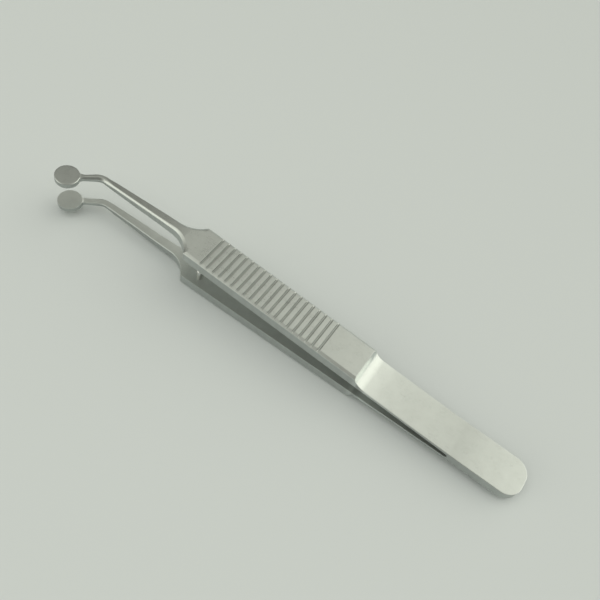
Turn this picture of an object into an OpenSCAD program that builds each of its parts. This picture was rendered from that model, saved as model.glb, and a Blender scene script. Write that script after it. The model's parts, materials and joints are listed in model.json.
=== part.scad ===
// Expressor forceps, in millimetres.
// Two equal forged blades, joined at the heel, open by their own spring.
// Each blade: pressing disc, tip arm bent sideways, tapered shank, flared shoulder,
// serrated grip, concave step, thin spring leaf, heel.
// A guide pin stands in the lower blade and enters a blind hole of the upper blade.
// Frame: +X runs from the discs to the heel, +Z is up, and z = 0 is the table,
// on which the serrated outer face of the lower grip lies flat.
// The origin is the middle of that serrated field.

/* [Disc and tip arm] */
// Diameter of each pressing disc
disc_d = 5.0; // [4:0.1:6]
// Thickness of each pressing disc
disc_thick = 1.17; // [0.9:0.01:1.4]
// Height of the pressing face over the inner face of its blade
disc_proud = 0.22; // [0.16:0.01:0.3]
// Distance from the disc centre to the bend of the tip
arm_len = 6.82; // [6:0.02:9]
// Sideways bend of the tip
tip_angle = 40; // [25:1:50]
// Width of the tip arm beside the disc
arm_width = 1.04; // [0.9:0.02:1.3]
// Radius of the fillets between the arm and the disc
arm_fillet_r = 0.9; // [0.5:0.1:1.2]
// Radius of the bend, on the middle line of the bar
bend_r = 1.6; // [1.2:0.1:2]
// Width of the bar in the bend
bend_width = 1.32; // [1.2:0.02:1.6]
// Thickness of the bar in the bend
bend_thick = 1.3; // [1.2:0.02:1.5]

/* [Shank and shoulder] */
// Width of the shank where it runs into the shoulder
shank_width = 2.15; // [1.9:0.05:2.6]
// Sideways shift of the shank at the shoulder
shank_shift = 0.22; // [0:0.02:0.4]
// Radius of the two hollow flares of the shoulder
shoulder_r = 5.9; // [5:0.1:7]

/* [Grip] */
// Distance from the disc centre to the front of the grip
grip_start = 28.75; // [26:0.05:32]
// Length of the grip, up to the edge of the step
grip_len = 40.35; // [38.5:0.05:46]
// Thickness of the grip
grip_thick = 2.92; // [2.8:0.02:3.4]
// Width of the grip, the leaf and the heel
blade_width = 8.0; // [7:0.1:9]
// Width of the bevel beside the serrated face
bevel_width = 0.56; // [0.4:0.02:0.7]
// Depth of that bevel
bevel_depth = 0.36; // [0.3:0.02:0.44]
// Number of cross grooves
groove_count = 20; // [12:1:22]
// Distance from groove to groove
groove_pitch = 1.464; // [1.2:0.004:1.5]
// Distance from the front of the grip to the first groove
groove_first = 3.97; // [3.6:0.01:4.4]
// Width of a groove at its mouth
groove_width = 0.5; // [0.3:0.02:0.6]
// Width of a groove at its floor
groove_floor = 0.16; // [0.1:0.02:0.24]
// Depth of a groove
groove_depth = 0.3; // [0.2:0.02:0.36]

/* [Leaf and heel] */
// Length of the spring leaf, from the edge of the step to the weld
leaf_len = 25.25; // [22:0.25:30]
// Thickness of the leaf at the foot of the step
leaf_front = 0.97; // [0.9:0.01:1.1]
// Thinnest place of the leaf
leaf_mid = 0.85; // [0.75:0.01:0.9]
// Thickness of the leaf at the weld and over the heel
heel_thick = 1.19; // [1:0.01:1.4]
// Length of the welded heel
heel_len = 10.9; // [9:0.1:13]
// Radius of the two corners of the heel
heel_corner_r = 2.4; // [1.8:0.1:3]
// Radius of the crowned end of the heel
heel_crown_r = 14; // [10:1:24]

/* [Opening] */
// Free gap between the pressing faces
tip_gap = 6.72; // [6:0.02:7.4]

/* [Guide pin] */
// Diameter of the guide pin
pin_d = 1.5; // [1.3:0.1:1.7]
// Distance from the front of the grip to the pin
pin_back = 3.25; // [2.5:0.05:4]
// Sideways place of the pin, from the middle line
pin_side = -1.8; // [-2.2:0.1:-1.2]
// Height of the pin over the inner face of the lower blade
pin_rise = 2.2; // [1.8:0.05:2.2]
// Depth of the pin in the lower blade
pin_seat = 1.9; // [1.6:0.05:2]
// Clearance all round between the pin and the hole of the upper blade
pin_clear = 0.25; // [0.2:0.01:0.35]
// Room left between the pin and the floor of that hole when the discs meet
pin_room = 0.28; // [0.2:0.01:0.3]
// Height of the cone at the free end of the pin
pin_nose = 0.3; // [0.2:0.05:0.4]

/* [Hidden] */
$fn = 96;
over = 0.2;
half_w = blade_width / 2;
bend_x = arm_len * cos(tip_angle);
disc_y = -arm_len * sin(tip_angle);
bend_run = bend_r * tan(tip_angle / 2);
shank_x = bend_x + bend_run;
step_x = grip_start + grip_len;
weld_x = step_x + leaf_len;
heel_x = weld_x + heel_len;
step_r = grip_thick - leaf_front;
far_y = shank_shift + shank_width / 2;
near_y = shank_shift - shank_width / 2;
far_rise = half_w - far_y;
near_rise = half_w + near_y;
far_run = sqrt(2 * shoulder_r * far_rise - far_rise * far_rise);
near_run = sqrt(2 * shoulder_r * near_rise - near_rise * near_rise);
far_x = grip_start - far_run;
near_x = grip_start - near_run;
shank_slope = atan((grip_thick - bend_thick) / (grip_start - shank_x));
groove_mid = grip_start + groove_first + (groove_count - 1) * groove_pitch / 2;
face_slope = atan(disc_proud / weld_x);
close_half = atan(tip_gap / 2 / weld_x);
open_half = close_half + face_slope;
fillet_u = sqrt(pow(disc_d / 2 + arm_fillet_r, 2) - pow(arm_width / 2 + arm_fillet_r, 2));
bevel_fade = 0.66;
pin_x = grip_start + pin_back;
pin_left = 2 * (weld_x - pin_x) * tan(face_slope);
hole_deep = pin_rise - pin_left + pin_room;
steel = [0.72, 0.73, 0.72];

// Half width of the leaf curve: thickness along the leaf, thinnest in its middle
function leaf_at(s) = leaf_front + (heel_thick - leaf_front) * s
    - 4 * ((leaf_front + heel_thick) / 2 - leaf_mid) * s * (1 - s);

// Side view of the blade: inner face on z = 0 as far as the weld, outer face above it
module side_view() {
    difference() {
        union() {
            polygon(concat(
                [[shank_x - 5, 0], [shank_x - 5, bend_thick], [shank_x, bend_thick]],
                [[grip_start, grip_thick], [step_x, grip_thick], [step_x, leaf_front]],
                [[step_x + step_r, leaf_front]],
                [for (i = [1 : 23]) [
                    step_x + step_r + (leaf_len - step_r) * i / 24,
                    leaf_at(i / 24)
                ]],
                [[weld_x, heel_thick]],
                [[heel_x + 1, heel_thick + (heel_len + 1) * tan(open_half)]],
                [[heel_x + 1, (heel_len + 1) * tan(open_half)], [weld_x, 0]]
            ));
            // Metal of the step, before its hollow is cut
            translate([step_x - over, leaf_front - over])
                square([step_r + over, step_r + over]);
        }
        // Hollow of the step: a quarter round between the grip and the leaf
        translate([step_x + step_r, leaf_front + step_r])
            circle(r = step_r);
    }
}

// Rounded end of the heel, seen from above
module heel_outline() {
    intersection() {
        union() {
            translate([grip_start, -half_w])
                square([heel_x - heel_corner_r - grip_start, blade_width]);
            translate([grip_start, heel_corner_r - half_w])
                square([heel_x - grip_start, blade_width - 2 * heel_corner_r]);
            for (side = [-1, 1])
                translate([heel_x - heel_corner_r, side * (half_w - heel_corner_r)])
                    circle(r = heel_corner_r);
        }
        union() {
            translate([grip_start - 1, -half_w - 1])
                square([weld_x - grip_start + 1, blade_width + 2]);
            translate([heel_x - heel_crown_r, 0])
                circle(r = heel_crown_r);
        }
    }
}

// Shoulder, seen from above: the full width with two hollow flares cut out of it
module shoulder_outline() {
    difference() {
        translate([near_x - 1, -half_w])
            square([grip_start - near_x + 2, blade_width]);
        translate([far_x, far_y + shoulder_r])
            circle(r = shoulder_r);
        translate([near_x, near_y - shoulder_r])
            circle(r = shoulder_r);
        translate([near_x - 2, far_y])
            square([far_x - near_x + 2, blade_width]);
        translate([near_x - 2, near_y - blade_width])
            square([2, blade_width]);
    }
}

// Shank and bend, seen from above
module shank_outline() {
    polygon([
        [shank_x, bend_width / 2],
        [shank_x, -bend_width / 2],
        [near_x, near_y],
        [grip_start + 1, near_y],
        [grip_start + 1, far_y],
        [far_x, far_y]
    ]);
    translate([shank_x, -bend_r])
        intersection() {
            difference() {
                circle(r = bend_r + bend_width / 2);
                circle(r = bend_r - bend_width / 2);
            }
            polygon([
                [0, 0],
                [0, 5],
                [-5 * tan(tip_angle / 2), 5],
                [-5 * sin(tip_angle), 5 * cos(tip_angle)]
            ]);
        }
}

// Tip arm with its fillets to the disc, seen from above, along +X from the disc centre
module arm_outline() {
    reach = arm_len - bend_run;
    polygon([
        [0, -arm_width / 2],
        [reach, -bend_width / 2],
        [reach, bend_width / 2],
        [0, arm_width / 2]
    ]);
    for (side = [-1, 1])
        difference() {
            polygon([[0, 0], [fillet_u, 0], [fillet_u, side * (arm_width / 2 + arm_fillet_r)]]);
            translate([fillet_u, side * (arm_width / 2 + arm_fillet_r)])
                circle(r = arm_fillet_r);
        }
}

// Tip arm with the pressing disc
module tip() {
    translate([0, disc_y, 0])
        rotate([0, 0, tip_angle])
            intersection() {
                translate([0, 0, -1])
                    linear_extrude(height = 4)
                        arm_outline();
                rotate([90, 0, 0])
                    linear_extrude(height = 8, center = true)
                        polygon([
                            [0, 0.1 - disc_proud],
                            [arm_len - bend_run, 0],
                            [arm_len - bend_run, bend_thick],
                            [0, disc_thick - disc_proud]
                        ]);
            }
    // The pressing face lies on a plane through the weld line, so the two discs meet flat
    translate([weld_x, 0, 0])
        rotate([0, -face_slope, 0])
            translate([-weld_x, disc_y, 0])
                cylinder(d = disc_d, h = disc_thick);
}

// One groove, drawn across the blade with its mouth on z = 0
module groove() {
    rotate([90, 0, 0])
        linear_extrude(height = blade_width + 2, center = true)
            polygon([
                [-groove_floor / 2, -groove_depth],
                [groove_floor / 2, -groove_depth],
                [groove_width / 2, 0],
                [groove_width / 2, 1],
                [-groove_width / 2, 1],
                [-groove_width / 2, 0]
            ]);
}

// Cutter for a bevel along +X, on the +Y side of an edge at y = 0, z = 0
module bevel_bar(run, side, wide, deep) {
    rotate([90, 0, 90])
        linear_extrude(height = run)
            polygon([
                [-1.5 * side * wide, 0.5 * deep],
                [0.5 * side * wide, -1.5 * deep],
                [0.5 * side * wide, 0.5 * deep]
            ]);
}

// Cutter for the bevel of one hollow flare, in the plane of the shank top
module flare_bevel(x, y) {
    translate([x - grip_start, y, -bevel_depth])
        cylinder(
            h = bevel_depth + over,
            r1 = shoulder_r,
            r2 = shoulder_r + bevel_width * (bevel_depth + over) / bevel_depth
        );
}

// Cutter for the bevel along one edge of the shank, growing shallow towards the bend
module shank_bevel(x, y, side) {
    run = x - shank_x;
    turn = side * atan((side * y - bend_width / 2) / run);
    lift = atan(bevel_depth * (1 - bevel_fade) / run);
    translate([x - grip_start, y, 0])
        rotate([0, lift, turn])
            translate([-run, 0, 0])
                bevel_bar(run, side, bevel_width, bevel_depth);
}

// Cutters for the bevels of the tip arm and of the bend
module tip_bevels() {
    wide = bevel_width * bevel_fade;
    deep = bevel_depth * bevel_fade;
    taper = atan((bend_width - arm_width) / 2 / (arm_len - bend_run));
    fall = atan((bend_thick - disc_thick + disc_proud) / (arm_len - bend_run));
    for (side = [-1, 1])
        translate([0, disc_y, 0])
            rotate([0, 0, tip_angle])
                translate([arm_len - bend_run, side * bend_width / 2, bend_thick])
                    rotate([0, -fall, side * taper])
                        translate([disc_d / 2 + 0.5 + bend_run - arm_len, 0, 0])
                            bevel_bar(arm_len - bend_run - disc_d / 2 - 0.5, side, wide, deep);
    translate([shank_x, -bend_r, bend_thick])
        rotate([0, 0, 90])
            rotate_extrude(angle = tip_angle)
                for (side = [-1, 1])
                    translate([bend_r + side * bend_width / 2, 0])
                        polygon([
                            [-1.5 * side * wide, 0.5 * deep],
                            [0.5 * side * wide, -1.5 * deep],
                            [0.5 * side * wide, 0.5 * deep]
                        ]);
}

// One blade in its own frame: inner face on z = 0, outer face up, disc centre at x = 0
module blade() {
    difference() {
        union() {
            intersection() {
                rotate([90, 0, 0])
                    linear_extrude(height = blade_width + 2, center = true)
                        side_view();
                translate([0, 0, -1])
                    linear_extrude(height = grip_thick + 2)
                        union() {
                            heel_outline();
                            shoulder_outline();
                            shank_outline();
                        }
            }
            tip();
        }
        // Bevels of the grip, the shoulder, the shank and the tip
        for (side = [-1, 1])
            translate([grip_start, side * half_w, grip_thick])
                bevel_bar(grip_len + 2, side, bevel_width, bevel_depth);
        translate([grip_start, 0, grip_thick])
            rotate([0, -shank_slope, 0]) {
                flare_bevel(far_x, far_y + shoulder_r);
                flare_bevel(near_x, near_y - shoulder_r);
                shank_bevel(far_x, far_y, 1);
                shank_bevel(near_x, near_y, -1);
            }
        tip_bevels();
        // Serration
        for (i = [0 : groove_count - 1])
            translate([grip_start + groove_first + i * groove_pitch, 0, grip_thick])
                groove();
    }
}

// The lower blade lies on its serrated face and carries the guide pin
module lower_blade() {
    color(steel)
        translate([-groove_mid, 0, grip_thick])
            difference() {
                mirror([0, 0, 1])
                    blade();
                // Bore for the pressed guide pin
                translate([pin_x, pin_side, -pin_seat])
                    cylinder(d = pin_d, h = pin_seat + 1);
            }
}

// The upper blade is the same forging, turned up about the weld line
module upper_blade() {
    color(steel)
        translate([weld_x - groove_mid, 0, grip_thick])
            rotate([0, 2 * open_half, 0])
                translate([-weld_x, 0, 0])
                    difference() {
                        blade();
                        // Blind hole that takes the guide pin
                        translate([pin_x, pin_side, -1])
                            cylinder(d = pin_d + 2 * pin_clear, h = hole_deep + 1);
                    }
}

// Guide pin, pressed into the lower blade
module guide_pin() {
    color(steel)
        translate([pin_x - groove_mid, pin_side, grip_thick - pin_seat]) {
            cylinder(d = pin_d, h = pin_seat + pin_rise - pin_nose);
            translate([0, 0, pin_seat + pin_rise - pin_nose])
                cylinder(d1 = pin_d, d2 = pin_d - 2 * pin_nose, h = pin_nose);
        }
}

lower_blade();
upper_blade();
guide_pin();
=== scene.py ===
# %% [markdown]
# # Expressor forceps
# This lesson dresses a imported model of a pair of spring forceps: two equal steel blades that are
# welded together at the heel, with a small round pressing disc at the end of each bent tip.
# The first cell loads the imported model, which stays where it is. Everything new is built round it.

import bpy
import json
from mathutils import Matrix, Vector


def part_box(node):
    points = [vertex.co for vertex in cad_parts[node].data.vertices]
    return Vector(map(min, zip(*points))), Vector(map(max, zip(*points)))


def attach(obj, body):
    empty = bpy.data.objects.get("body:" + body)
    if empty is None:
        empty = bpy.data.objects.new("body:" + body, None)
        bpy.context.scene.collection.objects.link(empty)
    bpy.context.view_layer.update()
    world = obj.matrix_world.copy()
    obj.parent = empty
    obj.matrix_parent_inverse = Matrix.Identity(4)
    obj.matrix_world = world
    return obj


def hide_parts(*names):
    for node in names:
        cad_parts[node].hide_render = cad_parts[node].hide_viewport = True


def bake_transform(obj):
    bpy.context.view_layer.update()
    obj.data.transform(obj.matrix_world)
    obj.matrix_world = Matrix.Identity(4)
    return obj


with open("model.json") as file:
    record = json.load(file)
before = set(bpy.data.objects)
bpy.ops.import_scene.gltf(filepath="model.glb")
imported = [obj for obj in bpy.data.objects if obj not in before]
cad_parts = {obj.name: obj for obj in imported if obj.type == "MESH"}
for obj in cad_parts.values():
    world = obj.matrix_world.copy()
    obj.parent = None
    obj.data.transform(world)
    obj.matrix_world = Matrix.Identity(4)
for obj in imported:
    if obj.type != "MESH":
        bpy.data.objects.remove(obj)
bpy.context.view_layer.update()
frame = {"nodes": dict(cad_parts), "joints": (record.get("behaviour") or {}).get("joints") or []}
print("nodes:", sorted(frame["nodes"]))

# %% [markdown]
# ## Sizes
# A maker draws one blade flat, from the middle of its disc to the end of its heel, and makes two.
# All sizes here are in millimetres along that drawing: x runs from the disc to the heel, y to the
# side, and z out through the thickness, from the plane on which the two discs meet. The packed
# model turns its upper blade about a line in that plane, so the place of the line is read from it,
# and so is the place of the guide pin.

# %% Driving sizes of one blade
import json
import math

import bpy
import numpy as np
from mathutils import Matrix, Vector

MM = 0.001
disc_d, disc_thick, disc_proud = 5.0, 1.17, 0.22
arm_len, tip_angle, arm_width, arm_fillet_r = 6.82, math.radians(40), 1.1, 0.4
bend_r, bend_width, bend_thick = 3.0, 1.42, 1.3
shank_width, shank_shift, shoulder_r = 2.15, 0.22, 5.9
grip_start, grip_len, grip_thick, half_w = 28.75, 40.35, 2.92, 4.0
bow_front, bow_back = 0.94, 0.33
groove_count, groove_pitch, groove_first = 20, 1.464, 3.97
groove_width, groove_floor, groove_depth = 0.5, 0.28, 0.3
step_r, leaf_len, leaf_front, leaf_mid = 3.0, 21.9, 0.96, 0.885
heel_len, heel_thick, heel_corner_r, heel_crown_r = 14.25, 1.07, 3.2, 14.0
tip_gap, hinge_back = 6.72, 3.35

bend_x = arm_len * math.cos(tip_angle)
disc_y = -arm_len * math.sin(tip_angle)
bend_run = bend_r * math.tan(tip_angle / 2)
arm_reach = arm_len - bend_run
shank_x = bend_x + bend_run
step_x = grip_start + grip_len
step_drop = grip_thick - leaf_front
foot_x = step_x + math.sqrt(2 * step_r * step_drop - step_drop**2)
weld_x = step_x + leaf_len
heel_x = weld_x + heel_len
hinge_x = weld_x + hinge_back
face_slope = math.atan(disc_proud / hinge_x)
open_half = math.atan(tip_gap / 2 / hinge_x) + face_slope
pivot = np.array(frame["joints"][0]["pos_m"]) / MM
pin_low, pin_high = (np.array(corner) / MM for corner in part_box("guide_pin"))
print(f"blade {heel_x + disc_d / 2:.1f} mm long, opened by {math.degrees(2 * open_half):.2f} degrees")

# %% [markdown]
# ## Seen from above
# The outline of the blade has two edges, a far one (+y) and a near one (-y). Along the straight
# part they are two heights over x: a long taper, a hollow flare of constant radius, the full
# width of the grip, and the rounded end of the heel. A plain polygon would need a point for every
# change. A formula for each stretch keeps the curves round however finely they are cut.

# %% Edges of the straight part
far_y, near_y = shank_shift + shank_width / 2, shank_shift - shank_width / 2


def smooth_min(a, b, k):
    """The smaller of a and b, with the corner between them rounded over a height of about k."""
    h = np.clip(0.5 + 0.5 * (b - a) / k, 0, 1)
    return b * (1 - h) + a * h - k * h * (1 - h)


def ease(t):
    """0 below t = 0, 1 above t = 1, and 3t^2 - 2t^3 between them."""
    t = np.clip(t, 0, 1)
    return t * t * (3 - 2 * t)


def flare(x, root):
    """Half width beside a shank edge at height root: the shank's own taper, then a circle of
    radius shoulder_r that leaves the shank smoothly and meets the full width at grip_start."""
    rise = half_w - root
    run = math.sqrt(2 * shoulder_r * rise - rise * rise)
    start = grip_start - run
    taper = bend_width / 2 + (root - bend_width / 2) * (x - shank_x) / (start - shank_x)
    t = np.clip(x - start, 0, run)
    curve = root + shoulder_r - np.sqrt(shoulder_r**2 - t * t)
    return np.where(x < start, taper, np.where(x < grip_start, curve, half_w))


def heel_end(x):
    """Half width at the heel: the smaller of the corner circle and the crown circle."""
    tc = np.clip(x - (heel_x - heel_corner_r), 0, heel_corner_r)
    tr = np.clip(x - (heel_x - heel_crown_r), 0, heel_crown_r)
    corner = half_w - heel_corner_r + np.sqrt(heel_corner_r**2 - tc * tc)
    crown = np.where(x > weld_x, np.sqrt(heel_crown_r**2 - tr * tr), half_w)
    return np.minimum(corner, crown)


def straight_edges(x):
    """Far and near edge of the blade over x."""
    end = heel_end(x)
    return np.minimum(flare(x, far_y), end), -np.minimum(flare(x, -near_y), end)


# %% [markdown]
# ## The bent tip
# The bar is bent sideways by 40 degrees and ends in a round disc, with a small fillet on each side
# where the arm meets it. Past the bend the same idea is used in the arm's own direction: half
# widths over the distance u from the middle of the disc.

# %% Edges of the tip arm and the disc
fillet_u = math.sqrt((disc_d / 2 + arm_fillet_r) ** 2 - (arm_width / 2 + arm_fillet_r) ** 2)
touch_u = fillet_u * disc_d / 2 / (disc_d / 2 + arm_fillet_r)


def arm_edge(u):
    """Half width of arm, fillet and disc at distance u from the disc's middle."""
    bar = arm_width / 2 + (bend_width - arm_width) / 2 * np.clip(u / arm_reach, 0, 1)
    t = np.clip(fillet_u - u, 0, arm_fillet_r)
    fillet = arm_width / 2 + arm_fillet_r - np.sqrt(arm_fillet_r**2 - t * t)
    disc = np.sqrt(np.maximum((disc_d / 2) ** 2 - u * u, 0))
    return np.where(u < touch_u, disc, np.where(u < fillet_u, np.maximum(bar, fillet), bar))


# %% [markdown]
# ## Stations
# A loft is a row of cross-sections. They stand close together where the form turns quickly (the
# serration, the step, the rounded ends) and far apart on the plain stretches. Each pitch of the
# serration gets the same marks, so that every tooth comes out equal.

# %% Stations from the heel to the front of the disc
half_marks = np.array([0.04, 0.075, 0.09, 0.105, 0.13, 0.155, 0.175, 0.2, 0.27, 0.38])
tooth_marks = np.concatenate([[-0.5], -half_marks[::-1], half_marks])
tooth_x = grip_start + groove_first + np.arange(groove_count) * groove_pitch
gap_end_r = bow_back + hinge_back * math.tan(open_half)


def crowd_end(a, b, n):
    """n values from a to b that crowd together towards b, by a quarter of a sine wave."""
    return a + (b - a) * np.sin(np.linspace(0, math.pi / 2, n))


def straight_stations():
    """x of every cross-section from the bend to the heel end."""
    turn = math.asin((foot_x - step_x) / step_r)
    parts = [
        np.linspace(shank_x, 22.5, 50, endpoint=False),
        np.linspace(22.5, grip_start - 0.3, 46, endpoint=False),
        np.linspace(grip_start - 0.3, grip_start + 0.3, 14, endpoint=False),
        np.linspace(grip_start + 0.3, tooth_x[0] - groove_pitch / 2, 16, endpoint=False),
        (tooth_x[:, None] + tooth_marks * groove_pitch).ravel(),
        np.linspace(tooth_x[-1] + groove_pitch / 2, step_x - 0.1, 20, endpoint=False),
        np.linspace(step_x - 0.1, step_x, 9, endpoint=False),
        foot_x - step_r * np.sin(np.linspace(turn, 0, 24, endpoint=False)),
        np.linspace(foot_x, weld_x - gap_end_r, 40, endpoint=False),
        crowd_end(weld_x - gap_end_r, weld_x, 12),
        np.linspace(weld_x + 0.02, heel_x - heel_corner_r - 0.4, 20, endpoint=False),
        crowd_end(heel_x - heel_corner_r - 0.4, heel_x - 0.0004, 34),
    ]
    return np.concatenate(parts)


def lay_out_path():
    """Middle point, side direction, far and near reach, and arm distance u of every station."""
    x = straight_stations()[::-1]
    far, near = straight_edges(x)
    none = np.zeros_like(x)
    straight = (np.c_[x, none], np.c_[none, none + 1], far, near, none + 99)
    phi = math.pi / 2 + tip_angle * np.linspace(0, 1, 16)[1:-1]
    turn = np.c_[np.cos(phi), np.sin(phi)]
    half = np.full(len(phi), bend_width / 2)
    bend = (np.array([shank_x, -bend_r]) + bend_r * turn, turn, half, -half, half * 0 + 50)
    u = np.concatenate([
        np.linspace(arm_reach, fillet_u, 16, endpoint=False),
        np.linspace(fillet_u, touch_u - 0.1, 16, endpoint=False),
        np.linspace(touch_u - 0.1, -1.2, 40, endpoint=False),
        crowd_end(-1.2, -disc_d / 2 + 0.0004, 30),
    ])
    along = np.array([math.cos(tip_angle), math.sin(tip_angle)])
    half = arm_edge(u)
    side = np.tile([-along[1], along[0]], (len(u), 1))
    arm = (np.array([0, disc_y]) + u[:, None] * along, side, half, -half, u)
    return [np.concatenate(group) for group in zip(straight, bend, arm)]


mid, side, far, near, arm_u = lay_out_path()
print(f"{len(mid)} cross-sections")

# %% [markdown]
# ## Distance to the edge
# Bevels and rounded edges follow the outline at a constant width, round the hollow shoulder, the
# heel and the disc. So every point of the drawing gets its true distance to the nearest edge, and
# the bevel is then a plain function of that distance.

# %% Distance from points to the outline
outline = np.concatenate([mid + side * far[:, None], (mid + side * near[:, None])[::-1]])


def edge_distance(points):
    """Shortest distance from each point to the closed outline, measured to its segments."""
    a, b = outline, np.roll(outline, -1, axis=0)
    ab = b - a
    long2 = np.maximum((ab**2).sum(1), 1e-12)
    found = []
    for part in np.array_split(points, max(1, len(points) // 1500)):
        ap = part[:, None] - a
        t = np.clip((ap * ab).sum(2) / long2, 0, 1)
        found.append(np.sqrt(((ap - t[..., None] * ab) ** 2).sum(2)).min(1))
    return np.concatenate(found)


# %% [markdown]
# ## Thickness
# The outer face is a height over the drawing. From the tips: a disc, a thin arm, a shank that
# thickens evenly, the flat grip, a hollow arc down to the leaf, and a leaf that is lowest in its
# middle, where the spring bends most. The inner face is hollow too. It leaves the discs' plane along
# the shank, stands off it over the grip and the leaf, and ends in a round at the front of the weld,
# so a slender dark gap runs between the blades and the leaf is only half a millimetre thick.

# %% Height of the outer and the inner face along the blade
step_break, field_drop, arm_set = 0.03, 0.06, 0.05
crease_x = grip_start - 1.9


def disc_face(x):
    """Pressing face: a plane through the hinge line, so that both discs meet flat."""
    return (x - hinge_x) * math.tan(face_slope)


def heel_face(x):
    """Plane on which the two heels are welded together."""
    return (x - hinge_x) * math.tan(open_half)


def outer_height(x, u, rho):
    """Outer face over x; on the arm over u, the distance from the disc's middle, and rho."""
    slope = (grip_thick - bend_thick) / (crease_x - shank_x)
    shank = np.where(u > 60, bend_thick + slope * np.maximum(x - shank_x, 0), bend_thick)
    z = smooth_min(shank, grip_thick, 0.2)
    z = z - field_drop * ease((x - tooth_x[0] + 1.0) / 0.65)
    t = np.clip(x - (step_x - step_break), 0, step_break)
    z = np.minimum(z, grip_thick - field_drop - step_break + np.sqrt(step_break**2 - t * t))
    t = np.clip(foot_x - x, 0, foot_x - step_x)
    hollow = np.minimum(leaf_front + step_r - np.sqrt(step_r**2 - t * t), z)
    s = np.clip((x - foot_x) / (weld_x - foot_x), 0, 1)
    leaf_back = heel_thick + heel_face(weld_x)
    sag = 4 * ((leaf_front + leaf_back) / 2 - leaf_mid) * s * (1 - s)
    leaf = leaf_front + (leaf_back - leaf_front) * s - sag
    z = np.where(x < step_x, z, np.where(x < foot_x, hollow, leaf))
    z = np.where(x < weld_x, z, heel_thick + heel_face(x))
    rise = bend_thick - disc_thick + disc_proud + arm_set
    arm = bend_thick - rise * (1 - (u - disc_d / 2) / (arm_reach - disc_d / 2))
    disc = disc_face(x) + disc_thick
    return np.where(u < 20, disc + (arm - disc) * ease((rho - disc_d / 2 + 0.1) / 0.4), z)


def inner_height(x, u, rho):
    """Inner face: bowed along the shank, straight to the weld, round there, proud at the disc."""
    t = np.clip((x - shank_x) / (grip_start - shank_x), 0, 1)
    s = np.clip((x - grip_start) / (weld_x - grip_start), 0, 1)
    z = bow_front * t * t + (bow_back - bow_front) * s
    t = np.clip(x - weld_x + gap_end_r, 0, gap_end_r)
    gap_end = heel_face(weld_x) + np.sqrt(gap_end_r**2 - t * t)
    z = np.where(x < weld_x, np.minimum(z, gap_end), heel_face(x))
    arm = 2 * arm_set * ((u - disc_d / 2) / (arm_reach - disc_d / 2) - 1)
    return np.where(u < 20, disc_face(x) + (arm - disc_face(x)) * ease((rho - disc_d / 2 + 0.1) / 0.4), z)


# %% [markdown]
# ## Serration
# The grip is cut across by a row of narrow grooves, each with a flat floor and two steep walls. The
# ground field that carries them lies a trace lower than the land in front of it, which shows as one
# bright line in front of the first groove.

# %% Grooves over x


def groove_height(x):
    """Height of the grooved face over x: the nearest groove's floor, then its wall."""
    k = np.clip(np.round((x - tooth_x[0]) / groove_pitch), 0, groove_count - 1)
    t = np.abs(x - tooth_x[0] - k * groove_pitch)
    wall = (t - groove_floor / 2) / (groove_width - groove_floor) * 2 * groove_depth
    return grip_thick - field_drop - groove_depth + (wall + np.sqrt(wall**2 + 0.03**2)) / 2


# %% [markdown]
# ## Bevels and broken edges
# A bevel is a slope that starts at the outline and is as wide as the edge distance says. It is broad
# and flat on the grip, narrow and steep on the shank, and so round on the arm that the bar has no
# edge there. The leaf, the heel and the disc only have a broken edge: a quarter circle of a tenth of
# a millimetre or so.

# %% Height of the beveled face and the rounding of an edge
grip_bevel, shank_bevel, arm_bevel, disc_bevel = (0.56, 0.36), (0.28, 0.42), (0.36, 0.5), (0.12, 0.1)


def bevel_size(x, u):
    """Width and depth of the bevel, each passing smoothly from the disc to the grip."""
    to_arm, to_shank, to_grip = ease((u - 2.3) / 1.2), ease((x - shank_x) / 2.5), ease((x - 19.5) / 8)
    sizes = []
    for disc, arm, shank, grip in zip(disc_bevel, arm_bevel, shank_bevel, grip_bevel):
        straight = arm + (shank - arm) * to_shank + (grip - shank) * to_grip
        sizes.append(np.where(u > 60, straight, disc + (arm - disc) * to_arm))
    return sizes


def bar_roundness(x, u):
    """1 on the arm and the bend, 0 on the disc, and fading to 0 along the first part of the shank."""
    return np.where(u > 60, 1 - ease((x - shank_x) / 2.5), ease((u - 2.6) / 1.2))


def plane_height(x, u):
    """Height of the plane from which the bevel is cut."""
    return np.where(x < step_x, outer_height(np.minimum(x, step_x - 1), u, u), grip_thick)


def rounding(d, r):
    """How far a quarter circle of radius r lies under its corner at distance d from the edge."""
    t = np.clip(r - d, 0, r)
    return r - np.sqrt(np.maximum(r * r - t * t, 0))


def outer_face(x, u, rho, d):
    """Outer face with step, grooves, bevel and broken edge."""
    z = outer_height(x, u, rho)
    z = np.where(x < step_x, smooth_min(z, groove_height(x), 0.06), z)
    wide, deep = bevel_size(x, u)
    shank = np.where(u > 60, 1 - ease((x - 19.5) / 8), 0)
    corner = 0.04 + 0.12 * shank + 0.2 * bar_roundness(x, u)
    z = smooth_min(z, plane_height(x, u) - deep + deep / wide * d, corner)
    return z - rounding(d, np.where(x > step_x + 1, 0.1, 0.07))


def inner_face(x, u, rho, d):
    """Inner face with its broken edge, which is round on the bar and left sharp at the weld."""
    shank = np.where(u > 60, 0.2 * (1 - ease((x - 21) / 8)), 0.26 * ease((u - 2.6) / 1.2))
    edge_r = np.where(x < weld_x - gap_end_r, 0.02 + shank, 0.0)
    return inner_height(x, u, rho) + rounding(d, edge_r)


# %% [markdown]
# ## One blade as a skin
# Every cross-section is a closed loop: across the outer face from the far to the near edge, down
# the side, back across the inner face and up again. The points crowd towards the edges, where the
# bevel is. Side by side the loops make one closed skin, with a cap at each end.

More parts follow.
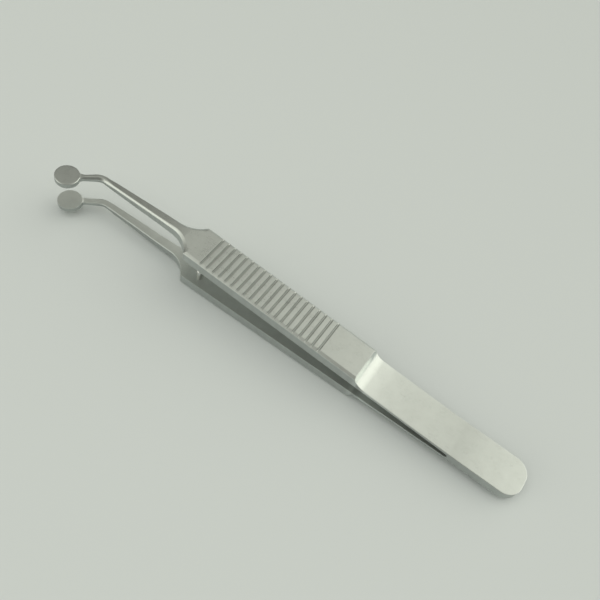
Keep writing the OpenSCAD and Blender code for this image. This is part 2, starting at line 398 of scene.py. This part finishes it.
# %% Grid of one blade
walk = np.concatenate([[0], np.cumsum(np.hypot(*np.diff(mid, axis=0).T))])
edge_marks = np.array([0, 0.02, 0.05, 0.1, 0.17, 0.27, 0.42, 0.6, 0.78, 0.9, 0.98, 1.06, 1.16])
field_marks = np.array([0.1, 0.28, 0.5, 0.75])
inner_offset, side_offset = 20.0, 40.0


def across(wide):
    """Side positions of every station, from its far to its near edge."""
    half = (far - near) / 2
    step = np.gradient(half, walk)
    lean = np.sqrt(1 + np.minimum(step**2, 3))
    zone = np.minimum(wide * lean, 0.5 * half)[:, None]
    rim = zone * edge_marks
    rest = zone * edge_marks[-1]
    field = rest + (half[:, None] - rest) * field_marks
    inward = np.concatenate([rim, field], axis=1)
    centre = ((far + near) / 2)[:, None]
    return np.concatenate([far[:, None] - inward, centre, (near[:, None] + inward)[:, ::-1]], axis=1)


def blade_grid():
    """Points of every loop, shape (stations, points round, 3), in the drawing's millimetres."""
    n = across(bevel_size(mid[:, 0], arm_u)[0])
    flat = mid[:, None] + side[:, None] * n[..., None]
    x = flat[..., 0]
    u = np.broadcast_to(arm_u[:, None], n.shape)
    rho = np.where(u < 20, np.hypot(flat[..., 0], flat[..., 1] - disc_y), 99)
    d = edge_distance(flat.reshape(-1, 2)).reshape(n.shape)
    d[:, 0] = d[:, -1] = 0
    top = outer_face(x, u, rho, d)
    low = inner_face(x, u, rho, d)
    outer = np.concatenate([flat, top[..., None]], axis=2)
    inner = np.concatenate([flat, low[..., None]], axis=2)[:, ::-1]
    guard = np.array([0.03, 0.5, 0.97])[None, :, None]
    near_wall = outer[:, -1:] * (1 - guard) + inner[:, :1] * guard
    far_wall = inner[:, -1:] * (1 - guard) + outer[:, :1] * guard
    loops = np.concatenate([outer, near_wall, inner, far_wall], axis=1)
    near_side = np.broadcast_to(near[:, None] + side_offset, near_wall.shape[:2])
    far_side = np.broadcast_to(far[:, None] + side_offset, far_wall.shape[:2])
    wide = np.concatenate([n, near_side, n[:, ::-1] + inner_offset, far_side], axis=1)
    return loops, wide


loops, wide = blade_grid()
print("one blade:", loops.shape[0] * loops.shape[1], "points")

# %% [markdown]
# ## From grid to mesh
# A grid of points becomes a mesh with four-sided faces between neighbouring loops. The brushed
# finish follows the blade, so each corner also gets a UV place: the distance along the blade and
# the distance across it, in centimetres. The inner face lies two centimetres beside the outer one on
# that sheet and the two sides four, so that the inside can be rougher and carry painted light and
# shade of its own.

# %% Make a closed skin from loops


def ring_faces(a, b):
    """Quads between two closed rings of point numbers of the same length."""
    return np.stack([a, np.roll(a, -1), np.roll(b, -1), b], axis=-1)


def fan_faces(ring, tip):
    """Triangles from a closed ring of point numbers to one point."""
    return np.stack([ring, np.roll(ring, -1), np.full(len(ring), tip)], axis=-1)


def skin(name, loops, uv, flip, hole=None):
    """Mesh of quads between the loops, closed round and capped by a fan point at both ends. A hole
    is a window of rows and columns with the points of its rim, its floor and its middle."""
    rows, cols = loops.shape[:2]
    index = np.arange(rows * cols).reshape(rows, cols)
    points = [loops.reshape(-1, 3), loops[0].mean(0)[None], loops[-1].mean(0)[None]]
    spots = [uv.reshape(-1, 2), uv[0].mean(0)[None], uv[-1].mean(0)[None]]
    quads = np.stack([ring_faces(a, b) for a, b in zip(index[:-1], index[1:])])
    kept = np.ones((rows - 1, cols), dtype=bool)
    crisp = []
    if hole:
        (r0, r1, c0, c1), hole_points, hole_uv = hole
        kept[r0:r1, c0:c1] = False
        rim = rows * cols + 2 + np.arange((len(hole_points) - 1) // 2)
        floor = rim + len(rim)
        points.append(hole_points)
        spots.append(hole_uv)
        crisp = [ring_faces(window_border(index, r0, r1, c0, c1), rim), ring_faces(rim, floor)]
        crisp.append(fan_faces(floor, floor[-1] + 1))
    ends = [fan_faces(index[0][::-1], rows * cols), fan_faces(index[-1], rows * cols + 1)]
    groups = [quads[kept], *ends, *crisp]
    faces = [face for group in groups for face in (group[:, ::-1] if flip else group).tolist()]
    mesh = bpy.data.meshes.new(name)
    mesh.from_pydata((np.concatenate(points) * MM).tolist(), [], faces)
    corner = np.zeros(len(mesh.loops), dtype=np.int32)
    mesh.loops.foreach_get("vertex_index", corner)
    layer = mesh.uv_layers.new(name="along_blade")
    layer.data.foreach_set("uv", np.concatenate(spots)[corner].astype(np.float32).ravel())
    smooth = np.arange(len(faces)) < len(faces) - sum(len(group) for group in crisp)
    mesh.polygons.foreach_set("use_smooth", smooth)
    mesh.update()
    piece = bpy.data.objects.new(name, mesh)
    bpy.context.scene.collection.objects.link(piece)
    print(f"{name}: {len(mesh.polygons)} faces")
    return piece


# %% [markdown]
# ## Hole for the guide pin
# When the blades are squeezed, the guide pin enters a blind hole in the inner face of the upper
# blade. A window of the grid is taken out round the hole. The border of the window is joined to the
# rim, each point straight towards the middle, then the rim to the floor.

# %% Window, rim and floor of the hole
hole_r = (pin_high[0] - pin_low[0]) / 2 + 0.25
hole_mid = (pin_low[:2] + pin_high[:2]) / 2 - pivot[:2] + np.array([hinge_x, 0])
hole_top = 2.19


def window_border(index, r0, r1, c0, c1):
    """Point numbers once round a window of rows r0 to r1 and columns c0 to c1."""
    sides = [index[r0, c0:c1], index[r0:r1, c1], index[r1, c1:c0:-1], index[r1:r0:-1, c0]]
    return np.concatenate(sides)


def pin_hole(loops):
    """Window in the inner face round the hole, and the points of rim, floor and middle."""
    rows, cols = loops.shape[:2]
    x = loops[:, 0, 0]
    inside = np.flatnonzero((np.abs(x - hole_mid[0]) < hole_r + 0.4) & (arm_u > 60))
    r0, r1 = inside[0], inside[-1]
    first = cols // 2
    y = loops[r0, first:-3, 1]
    c0 = first + np.flatnonzero(y < hole_mid[1] - hole_r - 0.1)[-1]
    c1 = first + np.flatnonzero(y > hole_mid[1] + hole_r + 0.1)[0]
    border = loops.reshape(-1, 3)[window_border(np.arange(rows * cols).reshape(rows, cols), r0, r1, c0, c1)]
    away = border[:, :2] - hole_mid
    rim = hole_mid + hole_r * away / np.hypot(*away.T)[:, None]
    rim_z = inner_height(rim[:, 0], 99, 99)
    points = np.concatenate([np.c_[rim, rim_z], np.c_[rim, rim_z * 0 + hole_top], [[*hole_mid, hole_top]]])
    return (r0, r1, c0, c1), points, points[:, :2] / 10


# %% [markdown]
# ## Two blades from one drawing
# The lower blade is the drawing turned over: its outer face lies on the table. The upper blade is
# the same drawing turned up about the hinge line by the opening angle, so that the two heels lie
# flat on each other. A mirror turns a skin inside out, so one of the two has its faces reversed.

# %% Place the two blades
blade_uv = np.stack([np.broadcast_to(walk[:, None], wide.shape) / 10, wide / 10], axis=-1)


def lower_place(p):
    """Drawing to row frame, turned over."""
    return np.stack([p[..., 0] - hinge_x + pivot[0], p[..., 1], pivot[2] - p[..., 2]], axis=-1)


def upper_place(p):
    """Drawing to row frame, turned up by the opening angle about the hinge line."""
    c, s = math.cos(2 * open_half), math.sin(2 * open_half)
    dx, z = p[..., 0] - hinge_x, p[..., 2]
    return np.stack([dx * c + z * s + pivot[0], p[..., 1], z * c - dx * s + pivot[2]], axis=-1)


window, hole_points, hole_uv = pin_hole(loops)
lower = skin("lower_blade_steel", lower_place(loops), blade_uv, True)
upper = skin("upper_blade_steel", upper_place(loops), blade_uv, False,
             (window, upper_place(hole_points), hole_uv))
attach(lower, "lower")
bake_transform(upper)
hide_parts("lower_blade")
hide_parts("upper_blade")

# %% [markdown]
# ## Guide pin
# A short round pin stands in the lower blade behind the shoulder. It is turned on a lathe, so its
# form is a profile carried round an axis: foot, side, a small cone and a slightly domed end.

# %% Turn the guide pin
pin_mid = (pin_low + pin_high) / 2
pin_r = (pin_high[0] - pin_low[0]) / 2
pin_z0, pin_z1 = pin_low[2], pin_high[2]


def turned(name, axis_xy, radii, heights, steps=64):
    """Profile of radii over heights, carried once round a vertical axis."""
    a = np.linspace(0, 2 * math.pi, steps, endpoint=False)
    ring = np.stack([np.cos(a), np.sin(a)], axis=-1)
    r, z = np.array(radii)[:, None, None], np.array(heights)[:, None, None]
    xy = np.array(axis_xy) + r * ring
    grid = np.concatenate([xy, np.broadcast_to(z, xy.shape[:2] + (1,))], axis=2)
    uv = np.stack(np.broadcast_arrays(np.array(heights)[:, None] / 10, a[None] / 10), axis=-1)
    return skin(name, grid, uv, False)


nose = pin_r * np.array([1, 0.98, 0.9, 0.8, 0.66, 0.62, 0.3])
nose_z = pin_z1 - np.array([0.34, 0.28, 0.18, 0.08, 0.02, 0.008, 0.0])
pin = turned("guide_pin_steel", pin_mid[:2], [pin_r * 0.5, pin_r, pin_r, *nose],
             [pin_z0, pin_z0, pin_z0 + 0.05, *nose_z])
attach(pin, "lower")
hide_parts("guide_pin")

# %% [markdown]
# ## Satin steel
# The real blades are stainless steel, ground and then brushed along their length, so they shine
# softly and show very fine streaks along the blade. A metal shader needs three things for that: a
# grey base colour, a roughness that varies in long thin streaks, and a faint bump of the same
# streaks. A noise texture becomes streaks when the UV along the blade is squeezed before it.
# The inner faces are rougher. Their colour carries painted shade between the grips and painted
# light along the shank and the discs, and the sides carry a little painted shade.
# A ramp over the distance from the heel paints a highlight into the colour at the foot of the step,
# and painted shade along the shank and the discs.
# The colour is darkened in every groove as painted shade, which the shader finds by their pitch.

# %% Steel material
# Painted highlight and painted shade: factors on the colour over the distance from the heel in millimetres,
# highest at the foot of the step.
painted_light_stops = [(0, 1.04), (9, 0.99), (14, 0.9), (20, 0.98), (26, 1.03), (30.3, 1.13), (33.2, 1.33), (33.8, 1.16),
          (34.3, 0.98), (34.8, 0.91), (35.05, 0.92), (35.3, 1.02), (35.5, 1.23), (35.75, 1.22),
          (36.1, 1.1), (36.3, 1.0), (73, 1.0), (76, 1.06), (80, 1.04), (84, 0.94), (88, 0.89),
          (96, 0.87), (102, 0.93), (115, 0.92)]
painted_light_low, painted_light_high = 0.8, 1.35
# Painted shade in the grooves: the level the colour falls to, and how far the shaded bands are shifted towards the
# tips.
groove_painted_shade_level, groove_painted_shade_lead = 0.66, 0.11


def shader_node(tree, kind, **sockets):
    """New node of a kind, with values set on its sockets by name."""
    node = tree.nodes.new(kind)
    for name, value in sockets.items():
        node.inputs[name.replace("_", " ")].default_value = value
    return node


def calc(tree, operation, *terms):
    """Output of one math node; each term is a number or another output."""
    node = tree.nodes.new("ShaderNodeMath")
    node.operation = operation
    for socket, term in zip(node.inputs, terms):
        if isinstance(term, (int, float)):
            socket.default_value = term
        else:
            tree.links.new(term, socket)
    return node.outputs[0]


def painted_light_ramp(tree, along):
    """Output of a painted light factor over the distance from the heel, in centimetres: painted highlight at the
    step, painted shade on the shank.
    """
    ramp = tree.nodes.new("ShaderNodeValToRGB")
    stops = ramp.color_ramp.elements
    longest = painted_light_stops[-1][0]
    for place, factor in painted_light_stops[1:-1]:
        stops.new(place / longest)
    for stop, (place, factor) in zip(stops, painted_light_stops):
        grey = (factor - painted_light_low) / (painted_light_high - painted_light_low)
        stop.color = (grey, grey, grey, 1)
    tree.links.new(calc(tree, "MULTIPLY", along, 10 / longest), ramp.inputs["Fac"])
    return calc(tree, "MULTIPLY_ADD", ramp.outputs["Color"], painted_light_high - painted_light_low, painted_light_low)


def painted_groove_shade(tree, along, across):
    """Output of a painted shade factor that darkens the colour in every groove. The distance to the
    nearest groove is a triangle wave from the first groove to the last, and large on the bevels."""
    first = (heel_x - tooth_x[-1] + groove_painted_shade_lead) / 10
    last = (heel_x - tooth_x[0] + groove_painted_shade_lead) / 10
    inside = calc(tree, "MINIMUM", calc(tree, "MAXIMUM", along, first), last)
    wave = calc(tree, "PINGPONG", calc(tree, "SUBTRACT", inside, first), groove_pitch / 20)
    past = calc(tree, "ABSOLUTE", calc(tree, "SUBTRACT", along, inside))
    field = (half_w - 0.8 * grip_bevel[0]) / 10
    rim = calc(tree, "GREATER_THAN", calc(tree, "ABSOLUTE", across), field)
    shade = shader_node(tree, "ShaderNodeMapRange", From_Min=0.006, From_Max=0.03, To_Min=groove_painted_shade_level)
    shade.interpolation_type = "SMOOTHSTEP"
    tree.links.new(calc(tree, "ADD", calc(tree, "ADD", wave, past), rim), shade.inputs["Value"])
    return shade.outputs["Result"]


def steel(name, colour, rough_low, rough_high, bump, inner_rough, inner_painted_light, side_painted_shade):
    """Metal with streaks along the blade, cloudy wear, a rougher inside, and painted light and shade on the
    colour.
    """
    mat = bpy.data.materials.new(name)
    mat.use_nodes = True
    tree = mat.node_tree
    bsdf = tree.nodes["Principled BSDF"]
    bsdf.inputs["Metallic"].default_value = 1.0
    uv = tree.nodes.new("ShaderNodeUVMap")
    uv.uv_map = "along_blade"
    stretch = tree.nodes.new("ShaderNodeMapping")
    stretch.inputs["Scale"].default_value = (1.2, 60, 1)
    streaks = shader_node(tree, "ShaderNodeTexNoise", Scale=6, Detail=5, Roughness=0.7)
    clouds = shader_node(tree, "ShaderNodeTexNoise", Scale=4, Detail=3, Roughness=0.6)
    both = tree.nodes.new("ShaderNodeMix")
    both.inputs["Factor"].default_value = 0.4
    span = shader_node(tree, "ShaderNodeMapRange", From_Min=0.3, From_Max=0.7, To_Min=rough_low, To_Max=rough_high)
    shade = shader_node(tree, "ShaderNodeMapRange", From_Min=0.35, From_Max=0.65, To_Min=0.91, To_Max=1.06)
    tint = shader_node(tree, "ShaderNodeHueSaturation", Color=(*colour, 1))
    relief = shader_node(tree, "ShaderNodeBump", Strength=bump, Distance=0.00002)
    link = tree.links.new
    link(uv.outputs["UV"], stretch.inputs["Vector"])
    link(stretch.outputs["Vector"], streaks.inputs["Vector"])
    link(uv.outputs["UV"], clouds.inputs["Vector"])
    link(streaks.outputs["Fac"], both.inputs["A"])
    link(clouds.outputs["Fac"], both.inputs["B"])
    link(both.outputs["Result"], span.inputs["Value"])
    link(both.outputs["Result"], shade.inputs["Value"])
    axes = tree.nodes.new("ShaderNodeSeparateXYZ")
    link(uv.outputs["UV"], axes.inputs[0])
    along, wide_place = axes.outputs["X"], axes.outputs["Y"]
    # Painted light: the colour is scaled by the painted highlight and shade ramp and the painted groove shade.
    bright = calc(tree, "MULTIPLY", shade.outputs["Result"], painted_light_ramp(tree, along))
    bright = calc(tree, "MULTIPLY", bright, painted_groove_shade(tree, along, wide_place))
    inside = calc(tree, "GREATER_THAN", wide_place, inner_offset / 20)
    beside = calc(tree, "GREATER_THAN", wide_place, (inner_offset + side_offset) / 20)
    # Painted shade on the inner faces of the grips, painted light on those of the shank and discs, and painted
    # shade on the sides.
    inner = shader_node(tree, "ShaderNodeMapRange", From_Min=7.6, From_Max=8.2, To_Min=0.93, To_Max=inner_painted_light)
    link(along, inner.inputs["Value"])
    face = calc(tree, "MULTIPLY_ADD", inside, calc(tree, "SUBTRACT", inner.outputs["Result"], 1.0), 1.0)
    face = calc(tree, "MULTIPLY_ADD", beside, calc(tree, "SUBTRACT", side_painted_shade, face), face)
    link(calc(tree, "MULTIPLY", bright, face), tint.inputs["Value"])
    link(tint.outputs["Color"], bsdf.inputs["Base Color"])
    rough = tree.nodes.new("ShaderNodeMix")
    rough.inputs["B"].default_value = inner_rough
    link(inside, rough.inputs["Factor"])
    link(span.outputs["Result"], rough.inputs["A"])
    link(rough.outputs["Result"], bsdf.inputs["Roughness"])
    link(streaks.outputs["Fac"], relief.inputs["Height"])
    link(relief.outputs["Normal"], bsdf.inputs["Normal"])
    return mat


# The last two numbers are painted light on the inner faces of the shank and discs and painted shade on the sides.
blade_steel = steel("blade_steel", (0.595, 0.625, 0.607), 0.24, 0.36, 0.25, 0.5, 1.16, 0.84)
pin_steel = steel("pin_steel", (0.66, 0.67, 0.65), 0.2, 0.3, 0.1, 0.3, 1.0, 1.0)
for piece in (lower, upper):
    piece.data.materials.append(blade_steel)
pin.data.materials.append(pin_steel)

# %% [markdown]
# ## Table
# The forceps lies on a plain pale sheet without an edge in view. A large flat square does it, with
# a soft grey-green colour and no gloss. It is not attached to the blades, so it isn't part of the object.

# %% Plain pale floor


def floor_sheet(size):
    """Flat square of that size, centred under the forceps."""
    mesh = bpy.data.meshes.new("floor")
    h = size / 2
    mesh.from_pydata([(-h, -h, 0), (h, -h, 0), (h, h, 0), (-h, h, 0)], [], [(0, 1, 2, 3)])
    piece = bpy.data.objects.new("floor", mesh)
    bpy.context.scene.collection.objects.link(piece)
    return piece


floor = floor_sheet(1.2)
paper = bpy.data.materials.new("pale_paper")
paper.use_nodes = True
paper.node_tree.nodes["Principled BSDF"].inputs["Base Color"].default_value = (0.62, 0.655, 0.65, 1)
paper.node_tree.nodes["Principled BSDF"].inputs["Roughness"].default_value = 0.9
paper.node_tree.nodes["Principled BSDF"].inputs["Specular IOR Level"].default_value = 0.1
floor.data.materials.append(paper)

# %% [markdown]
# ## Light
# Polished metal shows the room, so the room is the real light. A soft sky is enough. On the far
# side of the forceps it grows evenly brighter from the tips towards the heel, and on the side of the
# photographer it is the other way round, so its brightness is a base value, a share of y and a share
# of x times y. Two windows and a dark corner are added as smooth lobes: the cosine of the angle to a
# direction, raised to a power.

# %% Sky with an even change of brightness and two windows
world = bpy.data.worlds.new("soft_room")
bpy.context.scene.world = world
world.use_nodes = True
sky = world.node_tree
background = sky.nodes["Background"]
look = sky.nodes.new("ShaderNodeTexCoord")


def lobe(direction, power, strength):
    """Output of strength times cosine to a power, round a direction."""
    dot = sky.nodes.new("ShaderNodeVectorMath")
    dot.operation = "DOT_PRODUCT"
    dot.inputs[1].default_value = Vector(direction).normalized()
    sky.links.new(look.outputs["Generated"], dot.inputs[0])
    cosine = calc(sky, "MAXIMUM", dot.outputs["Value"], 0.0)
    return calc(sky, "MULTIPLY", calc(sky, "POWER", cosine, power), strength)


sky_base, sky_far, sky_twist, sky_least = 0.6, 0.25, 1.9, 0.235
axes = sky.nodes.new("ShaderNodeSeparateXYZ")
sky.links.new(look.outputs["Generated"], axes.inputs[0])
twist = calc(sky, "MULTIPLY_ADD", axes.outputs["X"], sky_twist, sky_far)
even = calc(sky, "MULTIPLY_ADD", twist, axes.outputs["Y"], sky_base)
window_light = lobe((0.72, 0.45, 0.53), 8, 0.4)
front_light = calc(sky, "ADD", lobe((-0.5, -0.85, 0.2), 9, 0.55), lobe((-0.95, -0.25, 0.2), 8, -0.6))
patches = calc(sky, "ADD", window_light, front_light)
background.inputs["Color"].default_value = (1.0, 1.0, 0.89, 1)
brightness = calc(sky, "MAXIMUM", calc(sky, "ADD", even, patches), sky_least)
sky.links.new(brightness, background.inputs["Strength"])

# %% [markdown]
# The sky alone leaves the table under the blades too dark. A wide soft box overhead fills the
# shadows. It is hidden from reflections, so the steel still shows the even sky.

# %% Soft box that only lights the table
soft_box = bpy.data.objects.new("soft_box", bpy.data.lights.new("soft_box", "AREA"))
bpy.context.scene.collection.objects.link(soft_box)
soft_box.data.shape = "DISK"
soft_box.data.size = 1.1
soft_box.data.energy = 2.5
soft_box.location = (0, -0.3, 0.8)
soft_box.visible_glossy = False

# %% [markdown]
# ## Camera
# The camera looks down at 56 degrees from the side of the heel, with its right side rolled up by
# 17.5 degrees, so that the forceps runs from the upper left to the lower right of the square frame.

# %% Camera at the photo's angle
cam_place = Vector((30.89, -69.14, 124.27)) * MM
cam_turn, cam_down, cam_roll = math.radians(19.39), math.radians(56.5), math.radians(17.48)
lens_mm, sensor_mm = 43.22, 36.0


def camera_matrix(place, turn, down, roll):
    """World matrix of a camera that looks along a turned and lowered line, rolled about it."""
    forward = Vector((-math.sin(turn) * math.cos(down), math.cos(turn) * math.cos(down), -math.sin(down)))
    flat_right = forward.cross(Vector((0, 0, 1))).normalized()
    flat_up = flat_right.cross(forward)
    right = math.cos(roll) * flat_right + math.sin(roll) * flat_up
    up = right.cross(forward)
    return Matrix.Translation(place) @ Matrix((right, up, -forward)).transposed().to_4x4()


camera = bpy.data.objects.new("camera", bpy.data.cameras.new("camera"))
bpy.context.scene.collection.objects.link(camera)
camera.data.lens = lens_mm
camera.data.sensor_width = sensor_mm
camera.data.clip_start = 0.005
camera.matrix_world = camera_matrix(cam_place, cam_turn, cam_down, cam_roll)
bpy.context.scene.camera = camera
bpy.context.scene.view_settings.view_transform = "Standard"
